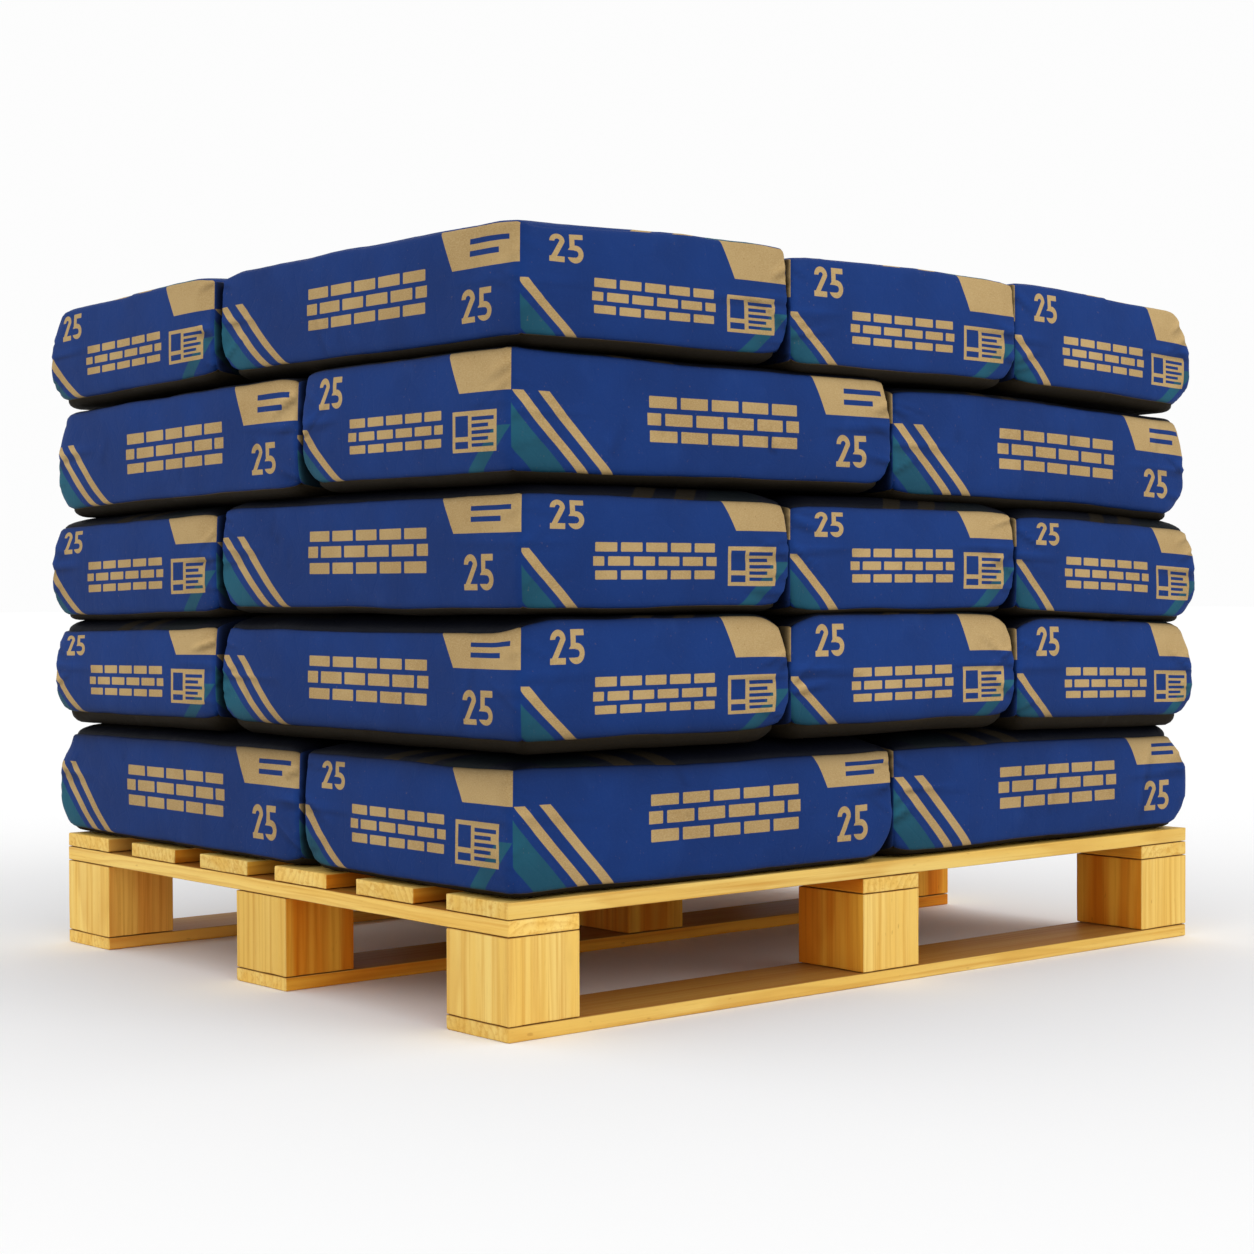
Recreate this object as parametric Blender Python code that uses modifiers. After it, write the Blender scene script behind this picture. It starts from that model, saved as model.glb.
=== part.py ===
"""A pallet of sacks: 25 filled paper sacks in five interlocked layers on a four-way block pallet.

Metres, +Z up. The origin is on the floor under the middle of the pallet. +X runs along the
pallet's 1.2 m side and +Y along its 1.0 m side.
"""

import math
import random

import bmesh
import bpy
from mathutils import Vector

# The pallet: a 1200 x 1000 mm four-way block pallet of sawn pine
PALLET_LENGTH = 1.200
PALLET_WIDTH = 1.000
BOARD_WIDTH = 0.114
CROSS_BOARD_WIDTH = 0.100
BOTTOM_BOARD_THICKNESS = 0.017
BLOCK_HEIGHT = 0.097
CROSS_BOARD_THICKNESS = 0.019
DECK_BOARD_THICKNESS = 0.019
DECK_BOARD_COUNT = 6
ROW_COUNT = 3
SAWN_EDGE = 0.0015
TOUCH_GAP = 0.0003

BLOCK_BASE = BOTTOM_BOARD_THICKNESS
CROSS_BOARD_BASE = BLOCK_BASE + BLOCK_HEIGHT
DECK_BASE = CROSS_BOARD_BASE + CROSS_BOARD_THICKNESS
DECK_TOP = DECK_BASE + DECK_BOARD_THICKNESS

# The layers of sacks, from the bottom: how high each stands in the stack, and how it is laid
LAYER_HEIGHTS = (0.156, 0.152, 0.146, 0.147, 0.140)
LAYER_PATTERNS = ("sides_out", "ends_out", "ends_out", "sides_out", "ends_out")

# How a layer is laid, measured from the pallet's near corner at -X, -Y: each row's reach along Y,
# and the places along X where its sacks begin and end. The sacks hang a little over the deck.
PATTERNS = {
    "ends_out": (
        ((-0.017, 0.600), (0.005, 0.411, 0.819, 1.207)),
        ((0.604, 1.046), (-0.012, 0.596, 1.200)),
    ),
    "sides_out": (
        ((-0.006, 0.407), (0.000, 0.599, 1.193)),
        ((0.411, 1.032), (-0.009, 0.394, 0.793, 1.190)),
    ),
}
SACK_GAP = 0.004
PLACE_WANDER = 0.0012

# A filled sack is flat where it is pressed. Its rim falls away from the top and the bottom, and is
# pulled in from the walls, which swell between them. At each corner the rim falls away further.
RIM = 0.045
BAND = 0.45
WALL_SWELL = 0.0045
CORNER_SWELL = 0.006
TOP_RIM = {"drop": 0.008, "pull": 0.007}
BOTTOM_RIM = {"drop": 0.010, "pull": 0.012}
TOP_CORNER = {"drop": 0.022, "pull": 0.020}
BOTTOM_CORNER = {"drop": 0.024, "pull": 0.030}
# The corner over the pallet's near corner is pressed out square.
NEAR_TOP_CORNER = {"drop": 0.008, "pull": 0.002}
NEAR_BOTTOM_CORNER = {"drop": 0.009, "pull": 0.009}
FOLD_CREASE = 0.75
UPRIGHT_CREASE = 0.70
NEAR_UPRIGHT_CREASE = 0.90

# Colours of the printed paper and of the pine, as linear values
PAPER_BLUE = (0.016, 0.045, 0.190)
PAPER_ROUGHNESS = 0.62
PINE = (0.62, 0.40, 0.13)
PINE_ROUGHNESS = 0.55
PINE_TONE_SPREAD = 0.12


def clear_scene():
    for old in list(bpy.data.objects):
        bpy.data.objects.remove(old, do_unlink=True)


def make_collection(name):
    collection = bpy.data.collections.new(name)
    bpy.context.scene.collection.children.link(collection)
    return collection


def make_material(name, colour, roughness):
    material = bpy.data.materials.new(name)
    material.use_nodes = True
    shader = material.node_tree.nodes["Principled BSDF"]
    shader.inputs["Base Color"].default_value = (*colour, 1.0)
    shader.inputs["Roughness"].default_value = roughness
    shader.inputs["Metallic"].default_value = 0.0
    return material


def link_object(collection, name, mesh, centre, material):
    piece = bpy.data.objects.new(name, mesh)
    piece.location = centre
    mesh.materials.append(material)
    collection.objects.link(piece)
    return piece


def pine_material(name, rng):
    tone = 1.0 + rng.uniform(-PINE_TONE_SPREAD, PINE_TONE_SPREAD)
    colour = tuple(channel * tone for channel in PINE)
    return make_material(name + "_pine", colour, PINE_ROUGHNESS)


def make_timber(collection, name, centre, size, rng):
    """A sawn board or block with its long edges just broken."""
    bm = bmesh.new()
    bmesh.ops.create_cube(bm, size=1.0)
    bmesh.ops.scale(bm, vec=Vector(size), verts=bm.verts)
    bmesh.ops.bevel(bm, geom=bm.edges[:], offset=SAWN_EDGE, segments=1, affect="EDGES")
    mesh = bpy.data.meshes.new(name)
    bm.to_mesh(mesh)
    bm.free()
    return link_object(collection, name, mesh, Vector(centre), pine_material(name, rng))


def row_centres(length, piece_width, count):
    """Middles of pieces spread evenly along a length, the outer ones flush with its ends."""
    first = -length / 2 + piece_width / 2
    step = (length - piece_width) / (count - 1)
    return [first + step * index for index in range(count)]


def make_pallet(collection, rng):
    columns = row_centres(PALLET_LENGTH, CROSS_BOARD_WIDTH, ROW_COUNT)
    rows = row_centres(PALLET_WIDTH, BOARD_WIDTH, ROW_COUNT)
    deck_rows = row_centres(PALLET_WIDTH, BOARD_WIDTH, DECK_BOARD_COUNT)

    for index, row in enumerate(rows, start=1):
        centre = (0, row, BOTTOM_BOARD_THICKNESS / 2)
        size = (PALLET_LENGTH, BOARD_WIDTH, BOTTOM_BOARD_THICKNESS)
        make_timber(collection, f"bottom_board_{index}", centre, size, rng)

    block_centre_z = BLOCK_BASE + (BLOCK_HEIGHT + TOUCH_GAP) / 2
    number = 0
    for row in rows:
        for column in columns:
            number += 1
            centre = (column, row, block_centre_z)
            size = (CROSS_BOARD_WIDTH, BOARD_WIDTH, BLOCK_HEIGHT - TOUCH_GAP)
            make_timber(collection, f"block_{number}", centre, size, rng)

    cross_centre_z = CROSS_BOARD_BASE + (CROSS_BOARD_THICKNESS + TOUCH_GAP) / 2
    for index, column in enumerate(columns, start=1):
        centre = (column, 0, cross_centre_z)
        size = (CROSS_BOARD_WIDTH, PALLET_WIDTH, CROSS_BOARD_THICKNESS - TOUCH_GAP)
        make_timber(collection, f"cross_board_{index}", centre, size, rng)

    deck_centre_z = DECK_BASE + (DECK_BOARD_THICKNESS + TOUCH_GAP) / 2
    for index, row in enumerate(deck_rows, start=1):
        centre = (0, row, deck_centre_z)
        size = (PALLET_LENGTH, BOARD_WIDTH, DECK_BOARD_THICKNESS - TOUCH_GAP)
        make_timber(collection, f"deck_board_{index}", centre, size, rng)


def cut_cage(bm, axis, place):
    """Cut a loop round the cage, square to an axis."""
    normal = Vector((0, 0, 0))
    normal[axis] = 1.0
    geometry = bm.verts[:] + bm.edges[:] + bm.faces[:]
    bmesh.ops.bisect_plane(bm, geom=geometry, plane_co=normal * place, plane_no=normal)


def rim_shape(top, corner, near):
    """How far the rim falls away and is pulled in, at one of its points."""
    if corner and near:
        return NEAR_TOP_CORNER if top else NEAR_BOTTOM_CORNER
    if corner:
        return TOP_CORNER if top else BOTTOM_CORNER
    return TOP_RIM if top else BOTTOM_RIM


def shape_cage_point(point, half, presses_near_corner):
    """Move a point of a box's cage to where a filled sack has it."""
    on_x = abs(abs(point.x) - half.x) < TOUCH_GAP
    on_y = abs(abs(point.y) - half.y) < TOUCH_GAP
    on_rim = abs(abs(point.z) - half.z) < TOUCH_GAP
    if not on_x and not on_y:
        return
    corner = on_x and on_y
    inward = -CORNER_SWELL if corner else -WALL_SWELL
    if on_rim:
        near = presses_near_corner and point.x < 0 and point.y < 0
        rim = rim_shape(point.z > 0, corner, near)
        inward = rim["pull"]
        point.z -= math.copysign(rim["drop"], point.z)
    if on_x:
        point.x -= math.copysign(inward, point.x)
    if on_y:
        point.y -= math.copysign(inward, point.y)


def crease_folds(bm, half, presses_near_corner):
    """Crease the paper's folds: round the top, round the bottom and up each corner."""
    crease = bm.edges.layers.float.new("crease_edge")
    for edge in bm.edges:
        ends = [vert.co for vert in edge.verts]
        on_x = all(abs(abs(co.x) - half.x) < TOUCH_GAP for co in ends)
        on_y = all(abs(abs(co.y) - half.y) < TOUCH_GAP for co in ends)
        on_rim = all(abs(abs(co.z) - half.z) < TOUCH_GAP for co in ends)
        near = presses_near_corner and all(co.x < 0 and co.y < 0 for co in ends)
        if on_rim and (on_x or on_y):
            edge[crease] = FOLD_CREASE
        elif on_x and on_y:
            edge[crease] = NEAR_UPRIGHT_CREASE if near else UPRIGHT_CREASE


def make_sack(collection, name, centre, size, presses_near_corner, material):
    """A filled sack: a box cut into a coarse cage, pulled in at its rim and corners, and smoothed."""
    half = Vector(size) / 2
    bm = bmesh.new()
    bmesh.ops.create_cube(bm, size=2.0)
    bmesh.ops.scale(bm, vec=half, verts=bm.verts)
    for axis in (0, 1):
        cut_cage(bm, axis, RIM - half[axis])
        cut_cage(bm, axis, half[axis] - RIM)
    cut_cage(bm, 0 if half.x > half.y else 1, 0.0)
    cut_cage(bm, 2, -BAND * half.z)
    cut_cage(bm, 2, BAND * half.z)
    crease_folds(bm, half, presses_near_corner)
    for vert in bm.verts:
        shape_cage_point(vert.co, half, presses_near_corner)
    mesh = bpy.data.meshes.new(name)
    bm.to_mesh(mesh)
    bm.free()
    mesh.shade_smooth()
    sack = link_object(collection, name, mesh, Vector(centre), material)
    smooth = sack.modifiers.new("Smooth", "SUBSURF")
    smooth.levels = 1
    smooth.render_levels = 1
    return sack


def make_layer(collection, layer, base, height, pattern, rng):
    """Lay one layer of sacks, its rows from the near side to the back."""
    near_corner = Vector((-PALLET_LENGTH / 2, -PALLET_WIDTH / 2))
    number = 0
    for (front, back), places in PATTERNS[pattern]:
        for start, end in zip(places[:-1], places[1:]):
            number += 1
            name = f"sack_{layer}_{number}"
            centre = Vector(((start + end) / 2, (front + back) / 2, 0))
            centre.x += near_corner.x + rng.uniform(-PLACE_WANDER, PLACE_WANDER)
            centre.y += near_corner.y + rng.uniform(-PLACE_WANDER, PLACE_WANDER)
            centre.z = base + height / 2
            size = (end - start - SACK_GAP, back - front - SACK_GAP, height - TOUCH_GAP)
            material = make_material(name + "_paper", PAPER_BLUE, PAPER_ROUGHNESS)
            make_sack(collection, name, centre, size, number == 1, material)


def main():
    clear_scene()
    rng = random.Random(25)
    collection = make_collection("pallet_of_sacks")
    make_pallet(collection, rng)
    base = DECK_TOP + TOUCH_GAP
    for layer, (height, pattern) in enumerate(zip(LAYER_HEIGHTS, LAYER_PATTERNS), start=1):
        make_layer(collection, layer, base, height, pattern, rng)
        base += height


main()
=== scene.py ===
"""The looks of a pallet of sacks: printed paper sacks in five layers on a golden pine pallet."""

import itertools
import math

import bpy
import numpy as np
from mathutils import Matrix, Vector


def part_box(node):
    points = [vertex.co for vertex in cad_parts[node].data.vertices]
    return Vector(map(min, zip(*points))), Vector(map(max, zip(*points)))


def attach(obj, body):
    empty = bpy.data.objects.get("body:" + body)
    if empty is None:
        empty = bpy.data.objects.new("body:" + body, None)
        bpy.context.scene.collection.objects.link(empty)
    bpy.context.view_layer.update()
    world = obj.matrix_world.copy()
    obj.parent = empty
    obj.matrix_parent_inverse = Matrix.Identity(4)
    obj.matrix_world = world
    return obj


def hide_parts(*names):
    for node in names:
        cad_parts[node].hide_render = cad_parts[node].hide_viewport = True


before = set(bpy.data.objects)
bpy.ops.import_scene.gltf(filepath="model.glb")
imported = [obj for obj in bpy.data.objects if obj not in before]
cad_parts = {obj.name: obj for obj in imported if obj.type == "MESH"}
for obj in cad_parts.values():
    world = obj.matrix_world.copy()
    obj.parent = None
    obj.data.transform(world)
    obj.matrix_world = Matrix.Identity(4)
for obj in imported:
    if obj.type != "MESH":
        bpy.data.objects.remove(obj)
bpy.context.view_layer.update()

BODY = "root"
MM = 0.001

# The photograph's camera, in the row's frame
CAMERA_PLACE = (-2.1753, -2.5377, 0.494)
CAMERA_HEADING = 0.8627
CAMERA_PITCH = -0.0175
CAMERA_ROLL = -0.003
CAMERA_LENS = 68.786
CAMERA_SENSOR = 36.0

LAYERS = 5
SACKS_IN_LAYER = 5

# A sack's printed walls and lids, in nominal metres: the print is drawn at these sizes and
# stretched a little to fit each sack
NOMINAL_LENGTH = 0.600
NOMINAL_WIDTH = 0.400
NOMINAL_HEIGHT = 0.146

# How close the rows of a sack's mesh lie near its folds, and how many share the rest
RIM_ROWS = tuple(MM * row for row in (0, 1.2, 3.2, 6.5, 11, 17, 24, 32, 41, 51))
WALL_ROWS = tuple(MM * row for row in (0, 1.2, 3.2, 6.5, 11, 16.5))
LONG_MIDDLE = 78
SHORT_MIDDLE = 48
HEIGHT_MIDDLE = 22

# How far a sack's paper stands out from its solid: on the stack's outside, and against a neighbour.
# At the far ends each layer stops short of that by its own amount, and so does the back row at -X.
STACK_OUTSIDE = (0.55, 0.46)
OUTER_SKIN = 4 * MM
NEIGHBOUR_SKIN = 6.6 * MM
END_TRIMS = (
    (-12 * MM, 3 * MM, -4 * MM, -8 * MM, 5 * MM),
    (-4 * MM, -1 * MM, -11 * MM, -3 * MM, -8 * MM),
)
BACK_ROW_TRIMS = (7 * MM, 10 * MM, 10 * MM, 7 * MM, 10 * MM)

# How far each layer's top rims fall away, on the walls that face X, on those that face Y, and on
# the latter close to the pallet's near corner, and how far its bottom rims rise
X_TOP_DROPS = (12 * MM, 17 * MM, 12 * MM, 1 * MM, 3.5 * MM)
Y_TOP_DROPS = (18 * MM, 1 * MM, 14 * MM, 6 * MM, 0 * MM)
NEAR_TOP_DROPS = (9 * MM, 3 * MM, 10 * MM, 1 * MM, 12 * MM)
NEAR_LENGTH = 0.25
BOTTOM_RISES = (5 * MM, 13 * MM, 5 * MM, 8 * MM, 8 * MM)
TOP_RIM_REACH = 55 * MM
BOTTOM_RIM_REACH = 32 * MM

# Sacks that lie lower than the rest of their layer
SINKS = {
    "sack_2_3": 6 * MM,
    "sack_3_2": 4 * MM,
    "sack_3_3": 7 * MM,
    "sack_3_4": 5 * MM,
    "sack_4_2": 11 * MM,
    "sack_4_3": 5 * MM,
    "sack_5_2": 8 * MM,
    "sack_5_3": 7 * MM,
}

# A sack's upright corners: how far they are pulled in at the top and the bottom, how much further
# their rims fall away, and how round they are
CORNERS = {
    "near": {"pull": (4 * MM, 8 * MM), "more": (0 * MM, 0 * MM), "radius": 12 * MM},
    "outer": {"pull": (16 * MM, 20 * MM), "more": (6 * MM, 9 * MM), "radius": 16 * MM},
    "between": {"pull": (5 * MM, 14 * MM), "more": (3 * MM, 5 * MM), "radius": 8 * MM},
}
LAYER_LOOSENESS = {
    "near": (1, 1, 1, 1, 1),
    "outer": (2.0, 1, 1, 1, 1.4),
    "between": (0.8, 2.0, 1.3, 1.5, 0.5),
}
TOP_ROUND = 6 * MM
BOTTOM_ROUNDS = (7 * MM, 13 * MM, 9 * MM, 9 * MM, 9 * MM)
TOP_PULL = 2.5 * MM
BOTTOM_PULL = 5 * MM
MORE_REACH = 48 * MM
PULL_CORNER_REACH = 52 * MM
PULL_REACH = 75 * MM
WALL_BEND = {"flat": 0.35, "power": 2.6}
TOP_CORNER_BEND = {"flat": 0.05, "power": 1.7}
BOTTOM_CORNER_BEND = {"flat": 0.22, "power": 2.2}

# The stack sags at its far ends, more the higher it is
SAG_ALONG_X = {"from": 0.12, "to": 0.60, "depth": 17 * MM}
SAG_ALONG_Y = {"from": -0.05, "to": 0.54, "depth": 12 * MM}
SAG_HEIGHT = 0.35

# The paper's unevenness
LUMP_SIZE = 130 * MM
LUMP_DEPTH = 1.5 * MM
DENT_SIZE = 48 * MM
DENT_DEPTH = 0.6 * MM
CRUMPLE_SIZE = 22 * MM
CRUMPLE_DEPTH = 0.8 * MM
EDGE_WAVE_SIZE = 70 * MM
EDGE_WAVE = 1.2 * MM
DEEPEST_CREASE = 1.7 * MM
LONG_WALL_CREASES = 7
CREASES_AT_CORNER = 5
NEAR_CORNER_SHARE = 0.4

# The shade painted into the paper's colour in the gaps between the layers: how dark a rim is, and how far it
# reaches up or down. Then the painted shade in the joints between a layer's sacks.
RIM_SHADE = 0.90
LID_SHADE = 0.96
TOP_SHADE_REACHES = (12 * MM, 4.5 * MM, 4.5 * MM, 3.5 * MM, 0.01 * MM)
BOTTOM_SHADE_REACHES = (2 * MM, 11 * MM, 3 * MM, 3 * MM, 3 * MM)
LID_SHADE_REACH = 1.2 * MM
JOINT_SHADE = 0.94
JOINT_SHADE_REACH = 4 * MM
# How strongly the paper is darkened as painted shade in the creases' valleys, and lightened as a painted
# highlight on the low ridges beside them
FOLD_SHADE = 0.45

# The pallet's outside, and the levels where its timbers meet
PALLET_HALF_LENGTH = 0.600
PALLET_HALF_WIDTH = 0.500
SEAM_LEVELS = (0.017, 0.114, 0.133)
# How much of the pine's painted inner shade the bottom boards' upper faces keep, and past which Y the far row
# keeps less of it
BOARD_TOP_PAINTED_SHADE = 0.55
FAR_ROW = 0.3
FAR_ROW_PAINTED_SHADE = 0.6
SEAM_REACH = 1.5 * MM
DECK_TOP = 0.152

# Colours, linear
KRAFT = (0.450, 0.310, 0.136)
KRAFT_DARK = (0.345, 0.222, 0.088)
KRAFT_PALE = (0.525, 0.380, 0.185)
BLUE = (0.0060, 0.0350, 0.175)
BLUE_DEEP = (0.0045, 0.0255, 0.130)
BLUE_PALE = (0.0190, 0.0580, 0.225)
TURQUOISE = (0.013, 0.098, 0.150)
TURQUOISE_DEEP = (0.009, 0.064, 0.105)
PINE = (0.830, 0.530, 0.122)
PINE_BAND = (0.630, 0.315, 0.052)
PINE_PALE = (0.880, 0.630, 0.190)
PINE_STREAK = (0.400, 0.175, 0.028)
# The pine's painted inner shade: colours multiplied into it on the faces inside the pallet
PINE_PAINTED_SHADE = (0.860, 0.420, 0.090)
PINE_PAINTED_SHADE_PALE = (1.000, 0.700, 0.260)
PINE_SEAM = (0.240, 0.105, 0.025)
FLOOR = (0.92, 0.92, 0.92)


def faded(distance, reach):
    """1 at no distance, falling smoothly to 0 at the reach."""
    return np.clip(1 - distance / reach, 0, 1) ** 2


def noise(points, size, seed):
    """Smooth random values from -1 to 1 at each point, which change over about one size."""
    scaled = points / size + 31.7 * seed
    cell = np.floor(scaled).astype(np.int64)
    part = scaled - cell
    part = part * part * (3 - 2 * part)
    total = np.zeros(len(points))
    for corner in itertools.product((0, 1), repeat=3):
        at = cell + np.array(corner)
        mixed = (at[:, 0] * 73856093) ^ (at[:, 1] * 19349663) ^ (at[:, 2] * 83492791)
        mixed = ((mixed ^ (mixed >> 13)) * 1274126177) & 0x7FFFFFFF
        value = ((mixed ^ (mixed >> 15)) & 0xFFFF) / 32767.5 - 1
        total += value * np.prod(np.where(corner, part, 1 - part), axis=1)
    return total


def ridges(points, size, seed):
    """Like noise, but with sharp ridges, from 0 to 1."""
    return (1 - np.abs(noise(points, size, seed))) ** 3


def places_between(half, rows, middle):
    """Places from -half to half: the rows at each end, and the rest shared evenly."""
    start = [row - half for row in rows]
    inner = np.linspace(rows[-1] - half, half - rows[-1], middle + 1)[1:-1]
    end = [half - row for row in reversed(rows)]
    return np.array([*start, *inner, *end])


class BoxGrid:
    """The grid of points and faces on a box's surface, with each face's side."""

    def __init__(self, counts, solid_lids):
        self.counts = counts
        self.numbers = {}
        self.faces = []
        self.sides = []
        last = [count - 1 for count in counts]
        for axis in range(3):
            first, second = [other for other in range(3) if other != axis]
            if axis == 1:
                first, second = second, first
            for end in (0, last[axis]):
                for i in range(last[first]):
                    for j in range(last[second]):
                        self.add_quad(axis, end, first, second, i, j)
        self.solid_lids = solid_lids
        self.keys = np.array(list(self.numbers))

    def number(self, key):
        return self.numbers.setdefault(key, len(self.numbers))

    def add_quad(self, axis, end, first, second, i, j):
        corners = []
        for step_i, step_j in ((0, 0), (1, 0), (1, 1), (0, 1)):
            key = [0, 0, 0]
            key[axis] = end
            key[first] = i + step_i
            key[second] = j + step_j
            corners.append(self.number(tuple(key)))
        if end == 0:
            corners.reverse()
        self.faces.append(corners)
        self.sides.append((axis, 1 if end else -1))


def flat_lid(grid, sides, rim_rows):
    """Faces of a grid whose hidden lids have one plain face inside their rims."""
    inner = len(rim_rows) - 1
    faces = []
    kept_sides = []
    for face, side in zip(grid.faces, grid.sides):
        keys = grid.keys[face]
        plain = side[0] == 2 and side[1] in sides
        if plain:
            middle = keys[:, :2].mean(axis=0)
            inside_x = inner < middle[0] < grid.counts[0] - 1 - inner
            inside_y = inner < middle[1] < grid.counts[1] - 1 - inner
            plain = inside_x and inside_y
        if not plain:
            faces.append(face)
            kept_sides.append(side)
    for end in sides:
        level = grid.counts[2] - 1 if end > 0 else 0
        low_x, high_x = inner, grid.counts[0] - 1 - inner
        low_y, high_y = inner, grid.counts[1] - 1 - inner
        loop = [(x, low_y) for x in range(low_x, high_x)]
        loop += [(high_x, y) for y in range(low_y, high_y)]
        loop += [(x, high_y) for x in range(high_x, low_x, -1)]
        loop += [(low_x, y) for y in range(high_y, low_y, -1)]
        face = [grid.numbers[(x, y, level)] for x, y in loop]
        if end < 0:
            face.reverse()
        faces.append(face)
        kept_sides.append((2, end))
    return faces, kept_sides


def mesh_from(name, points, faces):
    """A mesh of those faces, without the points that none of them uses."""
    used = np.zeros(len(points), bool)
    for face in faces:
        used[face] = True
    renumber = np.cumsum(used) - 1
    mesh = bpy.data.meshes.new(name)
    mesh.from_pydata(points[used].tolist(), [], [[int(renumber[i]) for i in face] for face in faces])
    mesh.shade_smooth()
    return mesh, used


def bend_share(rise, bend):
    """How far up its bend a wall is, from 0 where it stands flat to 1 at the fold."""
    return np.clip((rise - bend["flat"]) / (1 - bend["flat"]), 0, 1) ** bend["power"]


def set_values(mesh, name, values):
    """Keep one number for each of a mesh's points."""
    mesh.attributes.new(name, "FLOAT", "POINT").data.foreach_set("value", values.astype(np.float32))


def between(value, low, high):
    """How far a value has come from low to high, from 0 to 1."""
    return np.clip((value - low) / (high - low), 0, 1)


def sag(place):
    """How far the stack has sunk at each place in the row's frame."""
    sunk = 0
    for axis, end in enumerate((SAG_ALONG_X, SAG_ALONG_Y)):
        sunk = np.maximum(sunk, end["depth"] * between(place[:, axis], end["from"], end["to"]) ** 1.5)
    return sunk * between(place[:, 2], DECK_TOP, DECK_TOP + SAG_HEIGHT)


def corner_kinds(centre, half, turned):
    """Where each of a sack's upright corners stands: over the pallet's near corner, at another corner
    of the stack, or against a neighbour."""
    kinds = {}
    for signs in itertools.product((-1, 1), (-1, 1)):
        local = (signs[0] * half[0], signs[1] * half[1])
        spot = (-local[1], local[0]) if turned else local
        spot = (spot[0] + centre.x, spot[1] + centre.y)
        outer = all(abs(value) > outside for value, outside in zip(spot, STACK_OUTSIDE))
        near = outer and max(spot) < 0
        kinds[signs] = "near" if near else "outer" if outer else "between"
    return kinds


def corner_values(rest, kinds, layer, rng):
    """Each point's corner's pull, further fall and radius."""
    pull, more, radius = np.zeros((3, len(rest)))
    for signs, kind in kinds.items():
        corner = CORNERS[kind]
        on_corner = (np.where(rest[:, 0] < 0, -1, 1) == signs[0]) & (np.where(rest[:, 1] < 0, -1, 1) == signs[1])
        for end, upper in enumerate((True, False)):
            here = on_corner & ((rest[:, 2] > 0) == upper)
            loose = rng.uniform(0.8, 1.15)
            if upper:
                loose *= LAYER_LOOSENESS[kind][layer - 1]
            pull[here] = corner["pull"][end] * loose
            more[here] = corner["more"][end] * loose
        radius[on_corner] = corner["radius"]
    return pull, more, radius


def rounded_box(rest, half, radius, round_z):
    """The box's points with its edges rounded."""
    radii = np.stack([radius, radius, round_z], axis=1)
    inner = np.clip(rest, radii - half, half - radii)
    out = (rest - inner) / radii
    return inner + out / np.linalg.norm(out, axis=1, keepdims=True) * radii


def sack_shape(rest, place, half, layer, kinds, turned, rng, seed):
    """Where a sack's points lie, from their places on its plain box and in the row's frame."""
    half = np.array(half)
    from_x, from_y, from_z = half[:, None] - np.abs(rest.T)
    rise = np.abs(rest[:, 2]) / half[2]
    top = rest[:, 2] > 0
    corner_pull, corner_more, radius = corner_values(rest, kinds, layer, rng)
    x, y, z = rounded_box(rest, half, radius, np.where(top, TOP_ROUND, BOTTOM_ROUNDS[layer - 1])).T

    edge_pull = np.where(top, TOP_PULL, BOTTOM_PULL) * (1 + 0.3 * noise(rest, EDGE_WAVE_SIZE, seed + 3))
    corner_bend = np.where(top, bend_share(rise, TOP_CORNER_BEND), bend_share(rise, BOTTOM_CORNER_BEND))
    wall_pull = edge_pull * bend_share(rise, WALL_BEND)
    more_pull = corner_pull * corner_bend - wall_pull
    pull_x = (wall_pull + more_pull * faded(from_y, PULL_CORNER_REACH)) * faded(from_x, PULL_REACH)
    pull_y = (wall_pull + more_pull * faded(from_x, PULL_CORNER_REACH)) * faded(from_y, PULL_REACH)

    rim_reach = np.where(top, TOP_RIM_REACH, BOTTOM_RIM_REACH)
    by_x = faded(from_y if turned else from_x, rim_reach)
    by_y = faded(from_x if turned else from_y, rim_reach)
    near = 1 - between(place[:, 0] + PALLET_HALF_LENGTH, 0.03, NEAR_LENGTH)
    y_drop = Y_TOP_DROPS[layer - 1] * (1 - near) + NEAR_TOP_DROPS[layer - 1] * near
    top_drop = (X_TOP_DROPS[layer - 1] * by_x + y_drop * by_y) / np.maximum(by_x + by_y, 1e-9)
    rim = 1 - (1 - by_x) * (1 - by_y)
    drop = np.where(top, top_drop, BOTTOM_RISES[layer - 1]) * rim
    drop += corner_more * faded(from_x, MORE_REACH) * faded(from_y, MORE_REACH)
    drop += EDGE_WAVE * rim * noise(rest, EDGE_WAVE_SIZE, seed + 4)

    return np.stack([
        x - np.sign(x) * pull_x,
        y - np.sign(y) * pull_y,
        z - np.sign(z) * drop * faded(from_z, half[2]) - sag(place),
    ], axis=1)


def corner_creases(half, kinds, rng):
    """Creases that run from a sack's upright corners into its walls: start, end, depth and width."""
    lines = []
    reach = np.array(half[:2])
    for sign_x, sign_y, along in itertools.product((-1, 1), (-1, 1), (0, 1)):
        signs = np.array([sign_x, sign_y])
        strength = NEAR_CORNER_SHARE if kinds[(sign_x, sign_y)] == "near" else 1.0
        for step in range(CREASES_AT_CORNER):
            middle = step == 0
            level = half[2] * (rng.uniform(-0.12, 0.12) if middle else rng.uniform(-0.9, 0.9))
            length = MM * (rng.uniform(70, 150) if middle else rng.uniform(25, 80))
            fall = length * (rng.uniform(-0.05, 0.05) if middle else -np.sign(level) * rng.uniform(0.1, 0.7))
            begin = signs * reach
            end = begin.copy()
            end[along] -= signs[along] * length
            depth = MM * strength * (rng.uniform(1.1, 1.7) if middle else rng.uniform(0.6, 1.6))
            width = MM * rng.uniform(3.2, 4.8)
            lines.append((np.array([*begin, level]), np.array([*end, level + fall]), depth, width))
    return lines


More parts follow.
